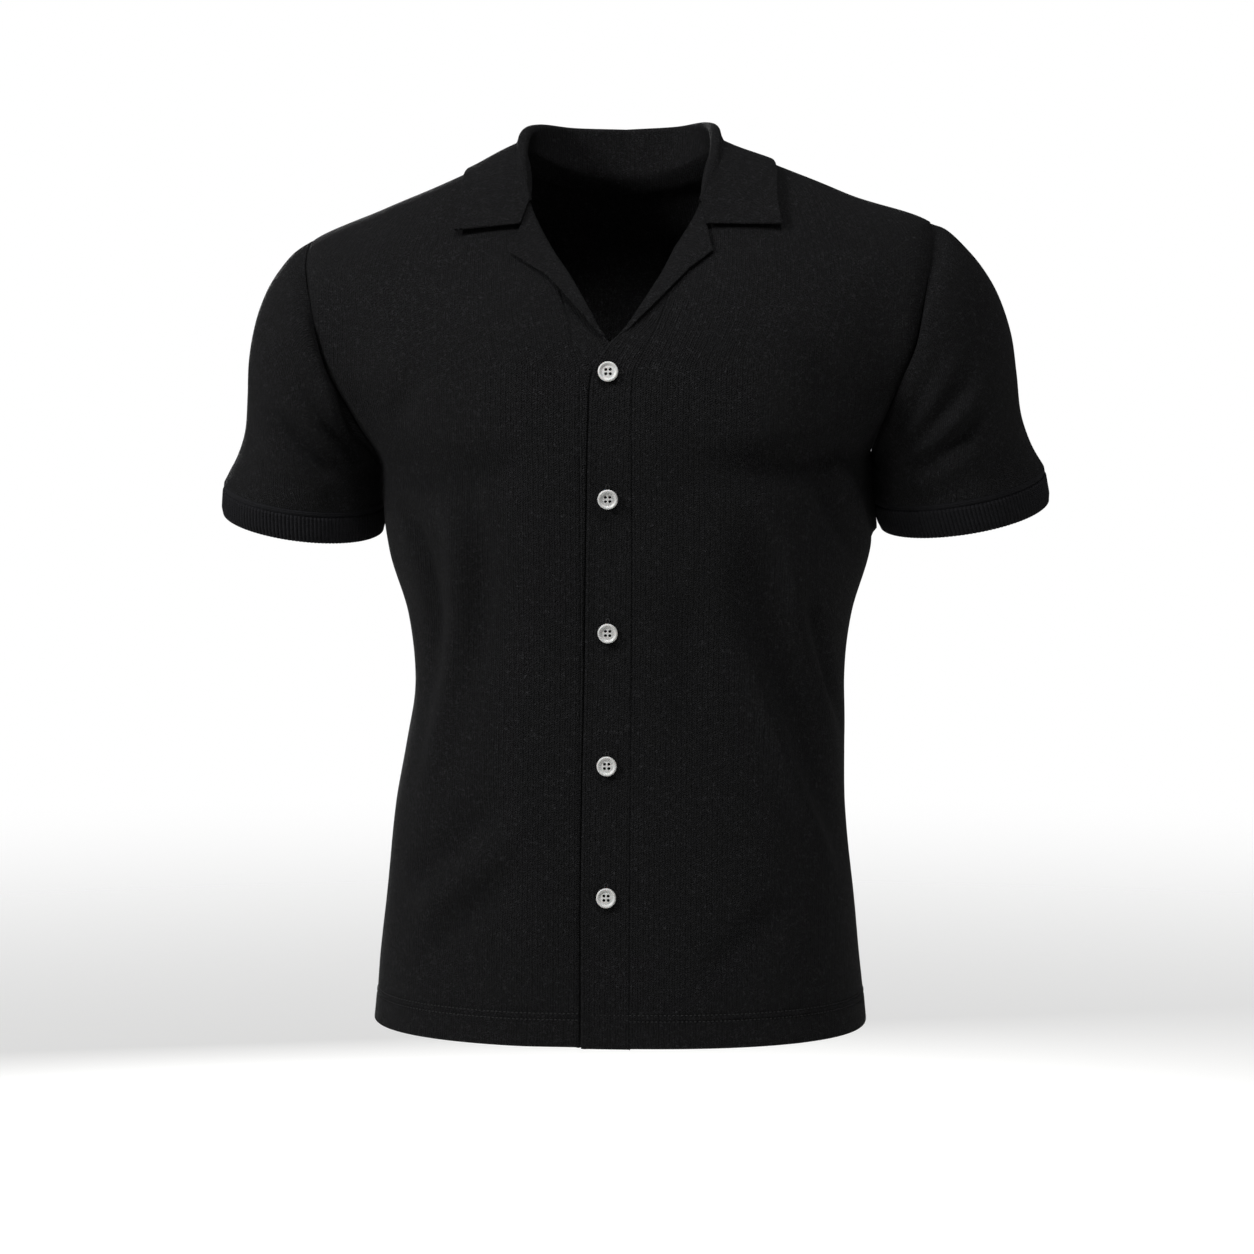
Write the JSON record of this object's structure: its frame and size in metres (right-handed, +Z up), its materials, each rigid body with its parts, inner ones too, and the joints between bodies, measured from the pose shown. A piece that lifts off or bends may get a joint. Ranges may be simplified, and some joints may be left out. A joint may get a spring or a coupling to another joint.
{
  "type": "knit polo cardigan",
  "caption": "Short-sleeve knit polo cardigan in its worn shape: camp collar with turned-back lapels, buttoned front bands, rib cuffs, plain hem.",
  "frame": {"origin": "midway between the two shoulder neck points, where the garment hangs on the wearer's shoulders", "axes": "+Z up towards the neck, -Y is the front with the buttons, +X the wearer's left"},
  "size_m": [0.622, 0.2564, 0.6758],
  "materials": {
    "knit": "matte fine-gauge plain knit",
    "rib": "matte rib knit",
    "button": "soft satin moulded button"
  },
  "bodies": {
    "root": {"front_left": "knit", "front_right": "knit", "back": "knit", "band_left": "knit", "band_right": "knit", "lapel_left": "knit", "lapel_right": "knit", "collar": "knit", "sleeve_left": "knit", "sleeve_right": "knit", "cuff_left": "rib", "cuff_right": "rib", "button_1": "button", "button_2": "button", "button_3": "button", "button_4": "button", "button_5": "button"}
  },
  "joints": []
}
